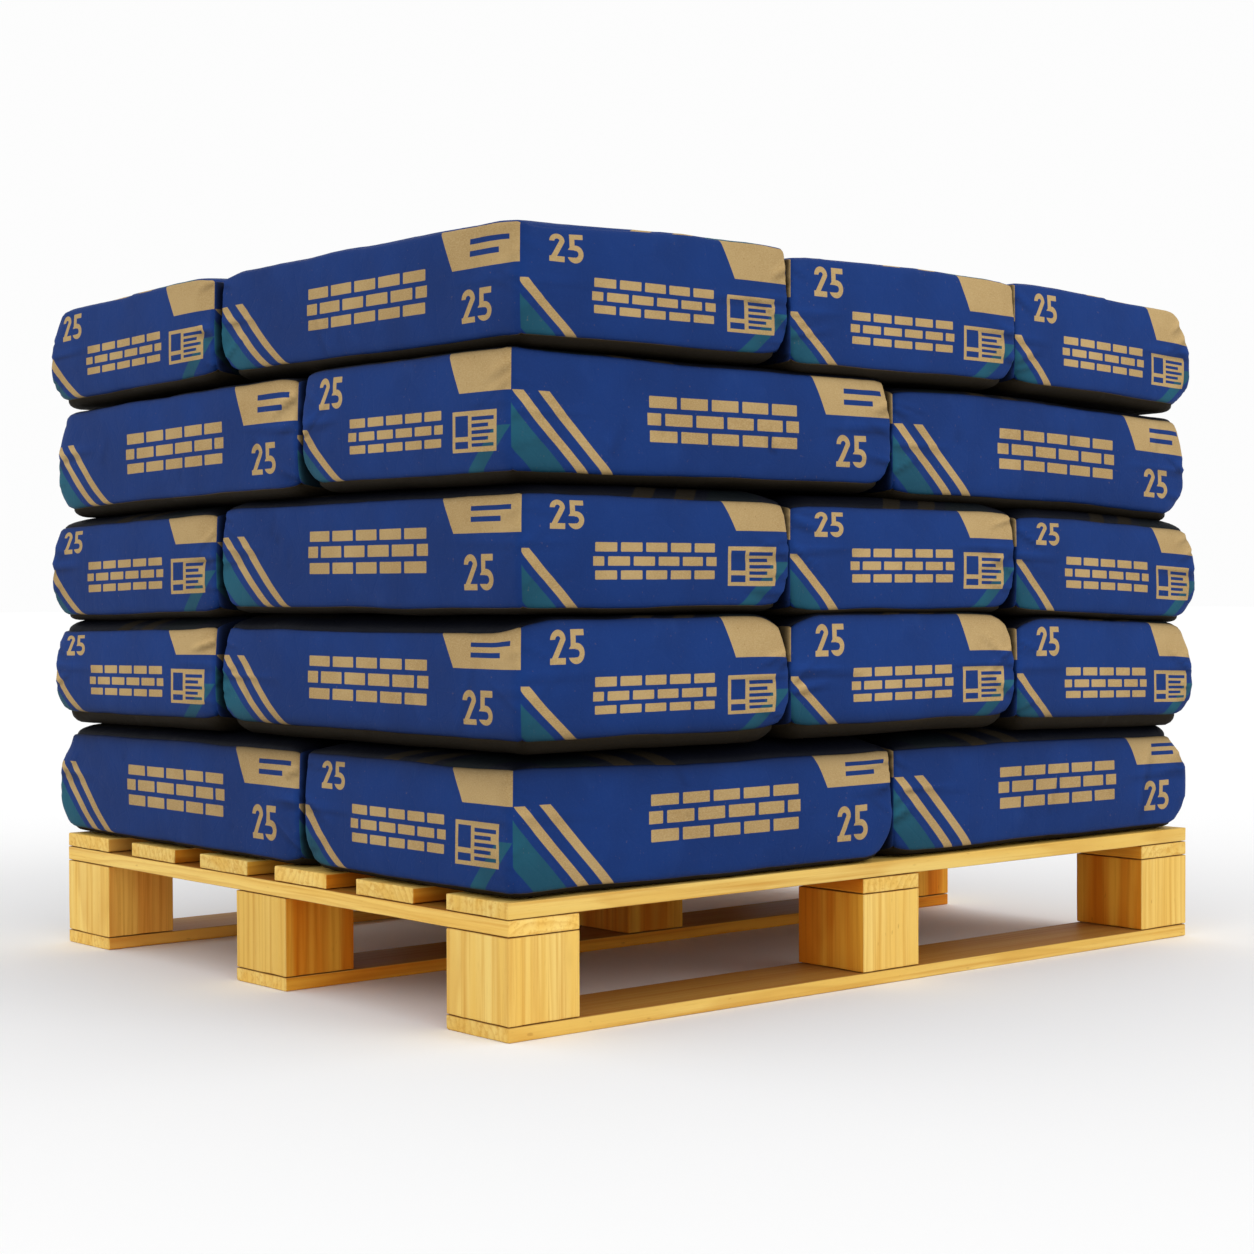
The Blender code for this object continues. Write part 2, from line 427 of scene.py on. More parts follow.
def wall_creases(half, rng):
    """A few soft creases up and down a sack's long walls."""
    lines = []
    for index in range(LONG_WALL_CREASES):
        side = 1 if index % 2 else -1
        place = rng.uniform(-0.8, 0.8) * half[0]
        low, high = sorted(rng.uniform(-0.95, 0.95, 2) * half[2])
        lean = rng.uniform(-0.6, 0.6) * (high - low)
        begin = np.array([place, side * half[1], low])
        end = np.array([place + lean, side * half[1], high])
        lines.append((begin, end, MM * rng.uniform(0.5, 1.0), MM * rng.uniform(4, 7)))
    return lines


def crease_profile(rest, line):
    """A crease at each point: 1 in its valley, fading towards its end, and less than 0 on a low ridge
    beside it."""
    begin, end, _, width = line
    course = end - begin
    length = np.linalg.norm(course)
    course /= length
    offset = rest - begin
    along = offset @ course
    share = np.clip(along / length, 0, 1)
    away = np.linalg.norm(offset - np.outer(np.clip(along, 0, length), course), axis=1)
    side = np.sign(offset[:, 2] * np.hypot(*course[:2]) - np.hypot(offset[:, 0], offset[:, 1]) * course[2])
    valley = np.exp(-(away / width) ** 2)
    ridge = np.exp(-((side * away - 1.9 * width) / (1.2 * width)) ** 2)
    taper = 1.6 * share ** 0.25 * (1 - share) ** 0.75
    return taper * (valley - 0.5 * ridge)


def sack_relief(rest, half, kinds, rng, seed):
    """How deep each point of a sack is pressed in by lumps, dents and creases, and how far it lies in
    a crease's valley, from 0 to 1."""
    from_x, from_y, from_z = np.array(half)[:, None] - np.abs(rest.T)
    to_end = np.maximum(from_x, from_y)
    busy = 0.35 + 0.9 * faded(to_end, 90 * MM)
    depth = LUMP_DEPTH * noise(rest, LUMP_SIZE, seed)
    depth += DENT_DEPTH * noise(rest, DENT_SIZE, seed + 1)
    depth += CRUMPLE_DEPTH * busy * (0.4 - ridges(rest, CRUMPLE_SIZE, seed + 2))
    fold = np.zeros(len(rest))
    for line in corner_creases(half, kinds, rng) + wall_creases(half, rng):
        profile = crease_profile(rest, line)
        depth += line[2] * profile
        fold += line[2] / DEEPEST_CREASE * profile
    return depth, np.clip(fold, -0.5, 1)


def gap_shade(rest, half, layer):
    """How deep each point lies in the shade between the layers, from 0 to 1."""
    inside = np.minimum(half[0] - np.abs(rest[:, 0]), half[1] - np.abs(rest[:, 1]))
    from_rim = half[2] - np.abs(rest[:, 2])
    top = rest[:, 2] > 0
    reach = np.where(top, TOP_SHADE_REACHES[layer - 1], BOTTOM_SHADE_REACHES[layer - 1])
    on_wall = RIM_SHADE * np.exp(-from_rim / reach)
    on_lid = 1 - (1 - LID_SHADE) * np.exp(-inside / LID_SHADE_REACH)
    shade = np.where(from_rim < 0.1 * MM, on_lid, on_wall)
    if layer == LAYERS:
        shade[top] = 0
    return shade


def joint_shade(place, low, high):
    """How deep each point of a sack's walls lies in the shade between two sacks, from 0 to 1."""
    depths = []
    for axis, outside in enumerate(STACK_OUTSIDE):
        if low[axis] < -outside:
            depths.append(place[:, axis] - low[axis])
        if high[axis] > outside:
            depths.append(high[axis] - place[:, axis])
    shade = JOINT_SHADE * (1 - np.exp(-np.min(depths, axis=0) / JOINT_SHADE_REACH))
    on_wall = np.minimum(place[:, 2] - low.z, high.z - place[:, 2]) > 0.1 * MM
    return shade * on_wall


def point_normals(points, faces):
    """Each point's normal, from the quads round it."""
    quads = np.array([face for face in faces if len(face) == 4])
    p = points[quads]
    across = np.cross(p[:, 2] - p[:, 0], p[:, 3] - p[:, 1])
    normals = np.zeros_like(points)
    for corner in range(4):
        np.add.at(normals, quads[:, corner], across)
    length = np.linalg.norm(normals, axis=1, keepdims=True)
    return normals / np.maximum(length, 1e-12)


def print_place(rest, side, half):
    """Where a point lies on its side's print, in nominal metres from the lower left."""
    x, y, z = rest.T
    a, b, c = half
    axis, end = side
    if axis == 2:
        u = (x + a) / (2 * a) * NOMINAL_LENGTH
        v = (end * y + b) / (2 * b) * NOMINAL_WIDTH
    elif axis == 1:
        u = (a - end * x) / (2 * a) * NOMINAL_LENGTH
        v = (z + c) / (2 * c) * NOMINAL_HEIGHT
    else:
        u = (end * y + b) / (2 * b) * NOMINAL_WIDTH
        v = (z + c) / (2 * c) * NOMINAL_HEIGHT
    return np.stack([u, v], axis=1)


SIDE_SLOTS = {(1, -1): 0, (1, 1): 0, (0, -1): 1, (0, 1): 1, (2, 1): 2, (2, -1): 3}


def paper_box(node, layer):
    """The box a sack's paper fills: a little more than its solid's, up to its neighbours' paper."""
    low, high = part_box(node)
    for axis, outside in enumerate(STACK_OUTSIDE):
        low[axis] -= OUTER_SKIN if low[axis] < -outside else NEIGHBOUR_SKIN
        if axis == 0 and low.x < -outside and low.y + high.y > 0:
            low.x += BACK_ROW_TRIMS[layer - 1]
        if high[axis] > outside:
            high[axis] += OUTER_SKIN - END_TRIMS[axis][layer - 1]
        else:
            high[axis] += NEIGHBOUR_SKIN
    return low, high


def make_sack(node, layer, grid, looks, seed):
    """A filled paper sack in its node's place, with its print's places in its UV map."""
    low, high = paper_box(node, layer)
    size = high - low
    centre = (low + high) / 2
    turned = size.y > size.x
    length, width = (size.y, size.x) if turned else (size.x, size.y)
    half = (length / 2, width / 2, size.z / 2)
    kinds = corner_kinds(centre, half, turned)
    rng = np.random.default_rng(seed)

    xs = places_between(half[0], RIM_ROWS, LONG_MIDDLE)
    ys = places_between(half[1], RIM_ROWS, SHORT_MIDDLE)
    zs = places_between(half[2], WALL_ROWS, HEIGHT_MIDDLE)
    keys = grid.keys
    rest = np.stack([xs[keys[:, 0]], ys[keys[:, 1]], zs[keys[:, 2]]], axis=1)
    place = rest[:, (1, 0, 2)] * (-1, 1, 1) if turned else rest.copy()
    place += centre
    shaped = sack_shape(rest, place, half, layer, kinds, turned, rng, seed)
    shaped[:, 2] -= SINKS.get(node, 0)
    normals = point_normals(shaped, grid.faces)
    depth, fold = sack_relief(rest, half, kinds, rng, seed)
    shaped -= normals * depth[:, None]

    hidden_lids = (-1,) if layer == LAYERS else (-1, 1)
    faces, sides = flat_lid(grid, hidden_lids, RIM_ROWS)
    mesh, used = mesh_from(node + "_paper", shaped, faces)
    uv_layer = mesh.uv_layers.new(name="print")
    places = {side: print_place(rest, side, half) for side in SIDE_SLOTS}
    uvs = np.concatenate([places[side][face] for face, side in zip(faces, sides)])
    uv_layer.data.foreach_set("uv", uvs.astype(np.float32).ravel())
    for look in looks:
        mesh.materials.append(look)
    mesh.polygons.foreach_set("material_index", [SIDE_SLOTS[side] for side in sides])
    set_values(mesh, "tone", np.full(len(mesh.vertices), rng.random()))
    # Painted shade: the paper is darkened in the gaps between the layers and in the joints between sacks
    hidden = np.maximum(gap_shade(rest, half, layer), joint_shade(place, low, high))
    set_values(mesh, "hidden", hidden[used])
    # Painted shade in the creases' valleys, painted highlight on the ridges beside them
    set_values(mesh, "fold", fold[used])

    sack = bpy.data.objects.new(node + "_paper", mesh)
    bpy.context.scene.collection.objects.link(sack)
    sack.location = centre
    sack.rotation_euler.z = math.pi / 2 if turned else 0
    bpy.context.view_layer.update()
    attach(sack, BODY)
    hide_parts(node)
    return sack


def timber_rows(size, step):
    """Places across a timber: close by its edges, then a step apart."""
    rows = tuple(MM * row for row in (0, 0.7, 1.8, 3.6))
    middle = max(2, round((size - 2 * rows[-1]) / step))
    return places_between(size / 2, rows, middle)


def make_timber(node, grain, step_along, step_across, look, seed):
    """A sawn board or block in its node's place, with its edges worn and its faces a little uneven."""
    low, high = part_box(node)
    size = high - low
    centre = (low + high) / 2
    steps = [step_along if axis == grain else step_across for axis in range(3)]
    axes = [timber_rows(size[axis], steps[axis]) for axis in range(3)]
    grid = BoxGrid([len(places) for places in axes], False)
    keys = grid.keys
    rest = np.stack([axes[axis][keys[:, axis]] for axis in range(3)], axis=1)
    half = np.array(size) / 2
    stretch = np.array([0.25 if axis == grain else 1.0 for axis in range(3)])
    worn = 1.5 * MM + 0.9 * MM * noise(rest * stretch, 14 * MM, seed)
    worn += 1.2 * MM * np.clip(noise(rest * stretch, 30 * MM, seed + 1), 0, 1)
    inner = np.clip(rest, -(half - worn[:, None]), half - worn[:, None])
    out = rest - inner
    length = np.linalg.norm(out, axis=1, keepdims=True)
    shaped = inner + out / np.maximum(length, 1e-9) * worn[:, None]
    dent = 0.22 * MM * (0.5 + 0.5 * noise(rest * stretch, 9 * MM, seed + 2))
    dent += 0.35 * MM * (0.5 + 0.5 * noise(rest * stretch, 60 * MM, seed + 3))
    shaped -= out / np.maximum(length, 1e-9) * dent[:, None]

    mesh, used = mesh_from(node + "_wood", shaped, grid.faces)
    rng = np.random.default_rng(seed)
    cross = [axis for axis in range(3) if axis != grain]
    angle = rng.uniform(0.5, 1.1) * math.pi
    pith = rng.uniform(70, 150) * MM * np.array([math.cos(angle), math.sin(angle)])
    log = np.stack([
        rest[:, grain] + rng.uniform(0, 40),
        rest[:, cross[0]] + pith[0],
        rest[:, cross[1]] + pith[1],
    ], axis=1)
    attribute = mesh.attributes.new("log", "FLOAT_VECTOR", "POINT")
    attribute.data.foreach_set("vector", log[used].astype(np.float32).ravel())
    set_values(mesh, "tone", np.full(len(mesh.vertices), rng.random()))
    # Painted shade: faces inside the pallet, off its outer sides and below the deck's top, are browner and
    # darker, less so on the bottom boards' tops and in the far row
    world = (rest + np.array(centre))[used]
    outside = np.abs(world[:, 0]) > PALLET_HALF_LENGTH - 1.0 * MM
    outside |= np.abs(world[:, 1]) > PALLET_HALF_WIDTH - 1.0 * MM
    outside |= world[:, 2] > DECK_TOP - 1.0 * MM
    inside = (~outside).astype(float)
    if node.startswith("bottom"):
        inside[world[:, 2] > SEAM_LEVELS[0] - 1.0 * MM] *= BOARD_TOP_PAINTED_SHADE
    inside[world[:, 1] > FAR_ROW] *= FAR_ROW_PAINTED_SHADE
    set_values(mesh, "inside", inside)
    seam = np.zeros(len(world))
    for level in SEAM_LEVELS:
        seam = np.maximum(seam, faded(np.abs(world[:, 2] - level), SEAM_REACH))
    set_values(mesh, "seam", seam)
    mesh.materials.append(look)
    timber = bpy.data.objects.new(node + "_wood", mesh)
    bpy.context.scene.collection.objects.link(timber)
    timber.location = centre
    bpy.context.view_layer.update()
    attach(timber, BODY)
    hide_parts(node)
    return timber


class Look:
    """A material whose Principled shader is fed by small formulas."""

    def __init__(self, name):
        self.material = bpy.data.materials.new(name)
        self.material.use_nodes = True
        self.tree = self.material.node_tree
        self.shader = self.tree.nodes["Principled BSDF"]

    def feed(self, socket, value):
        if isinstance(value, bpy.types.NodeSocket):
            self.tree.links.new(value, socket)
        elif isinstance(value, tuple) and len(value) == 3 and socket.type == "RGBA":
            socket.default_value = (*value, 1.0)
        else:
            socket.default_value = value

    def node(self, kind, inputs=None, **settings):
        made = self.tree.nodes.new(kind)
        for key, value in settings.items():
            setattr(made, key, value)
        for key, value in (inputs or {}).items():
            self.feed(made.inputs[key], value)
        return made

    def math(self, operation, *values, clamp=False):
        made = self.node("ShaderNodeMath", operation=operation, use_clamp=clamp)
        for socket, value in zip(made.inputs, values):
            self.feed(socket, value)
        return made.outputs[0]

    def vector(self, operation, *values):
        made = self.node("ShaderNodeVectorMath", operation=operation)
        for socket, value in zip(made.inputs, values):
            self.feed(socket, value)
        scalar = operation in ("LENGTH", "DOT_PRODUCT", "DISTANCE")
        return made.outputs["Value" if scalar else "Vector"]

    def mix(self, share, first, second, blend="MIX"):
        made = self.node("ShaderNodeMix", data_type="RGBA", blend_type=blend)
        self.feed(made.inputs[0], share)
        self.feed(made.inputs[6], first)
        self.feed(made.inputs[7], second)
        return made.outputs[2]

    def spread(self, value, low, high, new_low=0.0, new_high=1.0):
        made = self.node("ShaderNodeMapRange", interpolation_type="SMOOTHSTEP")
        for key, number in zip((0, 1, 2, 3, 4), (value, low, high, new_low, new_high)):
            self.feed(made.inputs[key], number)
        return made.outputs[0]

    def noise(self, place, scale, detail=2.0, roughness=0.5):
        made = self.node("ShaderNodeTexNoise", {"Vector": place, "Scale": scale, "Detail": detail,
                                                "Roughness": roughness})
        return made.outputs[0]

    def attribute(self, name, output):
        return self.node("ShaderNodeAttribute", attribute_name=name).outputs[output]

    def bump(self, height, distance, strength=1.0, normal=None):
        made = self.node("ShaderNodeBump", {"Height": height, "Distance": distance, "Strength": strength})
        if normal is not None:
            self.feed(made.inputs["Normal"], normal)
        return made.outputs[0]


class Print(Look):
    """A printed paper: shapes are signed distances in metres, negative inside."""

    def start(self, wobble=0.0006):
        place = self.node("ShaderNodeUVMap", uv_map="print").outputs[0]
        solid = self.node("ShaderNodeTexCoord").outputs["Object"]
        shake = self.node("ShaderNodeTexNoise", {"Vector": solid, "Scale": 45.0, "Detail": 3.0}).outputs[1]
        shake = self.vector("SUBTRACT", shake, (0.5, 0.5, 0.5))
        shake = self.vector("MULTIPLY", shake, (wobble, wobble, 0.0))
        self.solid = solid
        self.place = self.vector("ADD", place, shake)
        parts = self.node("ShaderNodeSeparateXYZ", {0: self.place})
        self.u = parts.outputs[0]
        self.v = parts.outputs[1]

    def bar(self, left, right, low, high, rounding=0.0006, place=None):
        centre = ((left + right) / 2, (low + high) / 2, 0.0)
        reach = ((right - left) / 2 - rounding, (high - low) / 2 - rounding, 10.0)
        off = self.vector("ABSOLUTE", self.vector("SUBTRACT", place or self.place, centre))
        out = self.vector("MAXIMUM", self.vector("SUBTRACT", off, reach), (0.0, 0.0, 0.0))
        return self.math("SUBTRACT", self.vector("LENGTH", out), rounding)

    def band(self, slope, low, high):
        """A straight band between two lines u + slope * v = low and high."""
        lean = self.math("MULTIPLY_ADD", self.v, slope, self.u)
        off = self.math("ABSOLUTE", self.math("SUBTRACT", lean, (low + high) / 2))
        off = self.math("SUBTRACT", off, (high - low) / 2)
        return self.math("DIVIDE", off, math.hypot(1, slope))

    def above(self, value, level):
        return self.math("SUBTRACT", level, value)

    def below(self, value, level):
        return self.math("SUBTRACT", value, level)

    def union(self, *shapes):
        total = shapes[0]
        for shape in shapes[1:]:
            total = self.math("MINIMUM", total, shape)
        return total

    def common(self, *shapes):
        total = shapes[0]
        for shape in shapes[1:]:
            total = self.math("MAXIMUM", total, shape)
        return total

    def bricks(self, left, right, low, high, brick=0.036, course=0.0155, joint=0.0042):
        """Courses of bricks in running bond, cut off square at the ends."""
        row = self.math("FLOOR", self.math("DIVIDE", self.math("SUBTRACT", self.v, low), course))
        shift = self.math("MULTIPLY", self.math("MODULO", row, 2.0), brick / 2)
        along = self.math("ADD", self.math("SUBTRACT", self.u, left), shift)
        along = self.math("SUBTRACT", self.math("FLOORED_MODULO", along, brick), brick / 2)
        up = self.math("SUBTRACT", self.v, low)
        up = self.math("SUBTRACT", self.math("FLOORED_MODULO", up, course), course / 2)
        place = self.node("ShaderNodeCombineXYZ", {0: along, 1: up}).outputs[0]
        half_brick = (brick - joint) / 2
        half_course = (course - joint) / 2
        one = self.bar(-half_brick, half_brick, -half_course, half_course, 0.0012, place)
        return self.common(one, self.bar(left, right, low, high))

    def ring(self, across, up, radius, half):
        centre = (across, up, 0.0)
        away = self.vector("DISTANCE", self.place, centre)
        return self.math("SUBTRACT", self.math("ABSOLUTE", self.math("SUBTRACT", away, radius)), half)

    def stroke(self, start, end, half):
        """A straight stroke with round ends between two points."""
        course = (end[0] - start[0], end[1] - start[1], 0.0)
        offset = self.vector("SUBTRACT", self.place, (*start, 0.0))
        share = self.math("DIVIDE", self.vector("DOT_PRODUCT", offset, course), course[0] ** 2 + course[1] ** 2)
        share = self.math("MINIMUM", self.math("MAXIMUM", share, 0.0), 1.0)
        nearest = self.node("ShaderNodeVectorMath", {0: course, "Scale": share}, operation="SCALE").outputs[0]
        return self.math("SUBTRACT", self.vector("DISTANCE", offset, nearest), half)

    def two(self, left, low, height, half):
        wide = height * 0.56
        middle = left + wide / 2
        shoulder = low + height - wide / 2
        arch = self.common(self.ring(middle, shoulder, wide / 2 - half, half), self.above(self.v, shoulder))
        slope = self.stroke((left + wide - half, shoulder), (left + half * 1.3, low + half), half)
        foot = self.bar(left, left + wide, low, low + 2 * half)
        return self.union(arch, slope, foot)

    def five(self, left, low, height, half):
        wide = height * 0.56
        stem = left + wide * 0.08
        middle = left + wide * 0.45
        belly = low + height * 0.30
        cap = self.bar(stem, left + wide * 0.95, low + height - 2 * half, low + height)
        back = self.bar(stem, stem + 2 * half, low + height * 0.46, low + height)
        bowl = self.ring(middle, belly, height * 0.30 - half, half)
        mouth = self.bar(left - wide, middle - wide * 0.05, belly - height * 0.12, belly + height * 0.13)
        return self.union(cap, back, self.common(bowl, self.math("MULTIPLY", mouth, -1.0)))

    def digits(self, left, low, height, stroke):
        """The number 25."""
        return self.union(
            self.two(left, low, height, stroke / 2),
            self.five(left + height * 0.70, low, height, stroke / 2),
        )

    def ink(self, shape, softness=0.0005):
        """1 inside a shape, 0 outside it."""
        return self.math("SUBTRACT", 0.5, self.math("DIVIDE", shape, softness), clamp=True)

    def label(self, left, right, low, high):
        """A paper label's plain rules and blocks, as printed areas inside it."""
        width = right - left
        height = high - low
        edge = height * 0.10
        block = self.bar(left + edge, left + width * 0.36, low + height * 0.40, high - edge)
        foot = self.bar(left + edge, left + width * 0.36, low + edge, low + height * 0.28)
        rules = [block, foot]
        for step in range(5):
            level = high - edge - (0.5 + step) * (height - 2 * edge) / 5
            end = right - edge - (0.12 * width if step % 2 else 0)
            rules.append(self.bar(left + width * 0.44, end, level - height * 0.045, level + height * 0.045))
        return self.union(*rules)


def finish_paper(look, bare, turquoise, worn):
    """Give a printed paper its colour, its fibres and its creases. bare, turquoise and worn are the
    shares of the surface without blue ink, with turquoise ink, and rubbed along a fold."""
    tone = look.attribute("tone", "Fac")
    hidden = look.attribute("hidden", "Fac")
    fold = look.attribute("fold", "Fac")
    cloud = look.noise(look.solid, 7.0, 3.0, 0.55)
    fibre = look.noise(look.vector("MULTIPLY", look.solid, (420.0, 420.0, 900.0)), 1.0, 3.0, 0.6)
    speck = look.noise(look.solid, 260.0, 2.0, 0.5)
    smudge = look.noise(look.solid, 18.0, 4.0, 0.65)

    kraft = look.mix(look.spread(cloud, 0.3, 0.7), KRAFT_DARK, KRAFT)
    kraft = look.mix(look.math("MULTIPLY", look.spread(fibre, 0.35, 0.75), 0.6), kraft, KRAFT_PALE)
    kraft = look.mix(look.spread(speck, 0.68, 0.76), kraft, KRAFT_DARK)
    kraft = look.mix(look.math("MULTIPLY", look.spread(smudge, 0.58, 0.75), 0.35), kraft, KRAFT_DARK)

    blue = look.mix(look.spread(cloud, 0.25, 0.75), BLUE_DEEP, BLUE)
    blue = look.mix(look.math("MULTIPLY", look.spread(fibre, 0.5, 0.8), 0.30), blue, BLUE_PALE)
    blue = look.mix(look.math("MULTIPLY", look.spread(smudge, 0.55, 0.8), 0.25), blue, BLUE_PALE)
    sea = look.mix(look.spread(cloud, 0.3, 0.7), TURQUOISE_DEEP, TURQUOISE)

    inked = look.mix(turquoise, blue, sea)
    rub = look.math("MULTIPLY", worn, look.spread(speck, 0.40, 0.60))
    fleck = look.math("MULTIPLY", look.spread(speck, 0.70, 0.78), 0.16)
    bare = look.math("MAXIMUM", bare, look.math("MAXIMUM", rub, fleck))
    colour = look.mix(bare, inked, kraft)
    shade = look.math("MULTIPLY_ADD", tone, 0.14, 0.93)
    # Painted shade in the gaps between the layers and the joints between sacks
    shade = look.math("MULTIPLY", shade, look.math("MULTIPLY_ADD", hidden, -0.975, 1.0))
    # Painted shade in the creases' valleys, painted highlight on the low ridges beside them
    shade = look.math("MULTIPLY", shade, look.math("MULTIPLY_ADD", fold, -FOLD_SHADE, 1.0))
    grey = look.node("ShaderNodeCombineColor", {0: shade, 1: shade, 2: shade}).outputs[0]
    colour = look.mix(1.0, colour, grey, "MULTIPLY")
    look.feed(look.shader.inputs["Base Color"], colour)

    rough = look.math("MULTIPLY_ADD", bare, 0.14, 0.60)
    rough = look.math("MULTIPLY_ADD", cloud, 0.10, rough)
    look.feed(look.shader.inputs["Roughness"], rough)
    look.shader.inputs["Specular IOR Level"].default_value = 0.10

    crease = look.node("ShaderNodeTexVoronoi", {"Vector": look.solid, "Scale": 26.0},
                       feature="DISTANCE_TO_EDGE").outputs[0]
    crease = look.spread(crease, 0.0, 0.055)
    fine = look.noise(look.solid, 120.0, 4.0, 0.6)
    wave = look.noise(look.solid, 34.0, 3.0, 0.5)
    normal = look.bump(crease, 0.0005, 0.25)
    normal = look.bump(wave, 0.0022, 0.45, normal)
    normal = look.bump(fine, 0.0005, 0.5, normal)
    normal = look.bump(fibre, 0.00012, 0.6, normal)
    look.feed(look.shader.inputs["Normal"], normal)
    return look.material


def rubbed_folds(look, height):
    """A ragged line along a wall's upper and lower folds where the ink is rubbed off."""
    to_fold = look.math("MINIMUM", look.v, look.math("SUBTRACT", height, look.v))
    ragged = look.math("MULTIPLY", look.noise(look.solid, 30.0, 4.0, 0.7), 0.008)
    ragged = look.math("SUBTRACT", ragged, 0.0035)
    return look.math("MULTIPLY", look.spread(look.math("SUBTRACT", ragged, to_fold), -0.0016, 0.0020), 0.3)


def side_print():
    """The sack's long walls."""
    look = Print("paper_long_wall")
    look.start()
    stripes = look.union(look.band(1.0, 0.100, 0.116), look.band(1.0, 0.136, 0.152))
    stripes = look.common(stripes, look.below(look.v, 0.098))
    sea = look.band(1.0, 0.034, 0.084)
    lean = look.math("MULTIPLY_ADD", look.v, 0.45, look.u)
    panel = look.common(look.above(look.v, 0.092), look.above(lean, 0.524))
    rules = look.union(look.bar(0.514, 0.584, 0.121, 0.128), look.bar(0.514, 0.566, 0.106, 0.113))
    panel = look.common(panel, look.math("MULTIPLY", rules, -1.0))
    wall = look.bricks(0.196, 0.436, 0.044, 0.1040, 0.048, 0.020, 0.0062)
    number = look.digits(0.500, 0.026, 0.042, 0.0074)
    edge = look.below(look.v, 0.0012)
    bare = look.ink(look.union(stripes, panel, wall, number, edge))
    return finish_paper(look, bare, look.ink(sea), rubbed_folds(look, NOMINAL_HEIGHT))


def end_print():
    """The sack's short walls."""
    look = Print("paper_short_wall")
    look.start()
    stripes = look.common(look.band(1.0, 0.070, 0.086), look.below(look.v, 0.074))
    sea = look.union(look.band(1.0, 0.012, 0.056), look.common(
        look.band(-0.9, 0.318, 0.345), look.below(look.v, 0.060)))
    lean = look.math("MULTIPLY_ADD", look.v, 0.45, look.u)
    panel = look.common(look.above(look.v, 0.098), look.above(lean, 0.356))
    plate = look.bar(0.300, 0.376, 0.030, 0.078)
    plate = look.common(plate, look.math("MULTIPLY", look.label(0.300, 0.376, 0.030, 0.078), -1.0))
    wall = look.bricks(0.100, 0.282, 0.036, 0.0840, 0.0364, 0.016, 0.0054)
    number = look.digits(0.040, 0.096, 0.038, 0.0070)
    edge = look.below(look.v, 0.0012)
    bare = look.ink(look.union(stripes, panel, plate, wall, number, edge))
    return finish_paper(look, bare, look.ink(sea), rubbed_folds(look, NOMINAL_HEIGHT))


def top_print():
    """The sack's upper face."""
    look = Print("paper_top")
    look.start()
    stripes = look.union(look.band(1.0, 0.150, 0.180), look.band(1.0, 0.212, 0.242))
    stripes = look.common(stripes, look.below(look.v, 0.250))
    sea = look.band(1.0, 0.050, 0.130)
    lean = look.math("MULTIPLY_ADD", look.v, 0.45, look.u)
    panel = look.common(look.bar(0.30, 0.572, 0.300, 0.372), look.above(lean, 0.560))
    wall = look.bricks(0.160, 0.450, 0.150, 0.2600, 0.058, 0.0275)
    number = look.digits(0.430, 0.045, 0.080, 0.014)
    bare = look.ink(look.union(stripes, panel, wall, number))
    return finish_paper(look, bare, look.ink(sea), rubbed_folds(look, NOMINAL_WIDTH))


def bare_paper():
    """The sack's underside, which has no print."""
    look = Print("paper_bare")
    look.start()
    return finish_paper(look, 1.0, 0.0, 0.0)


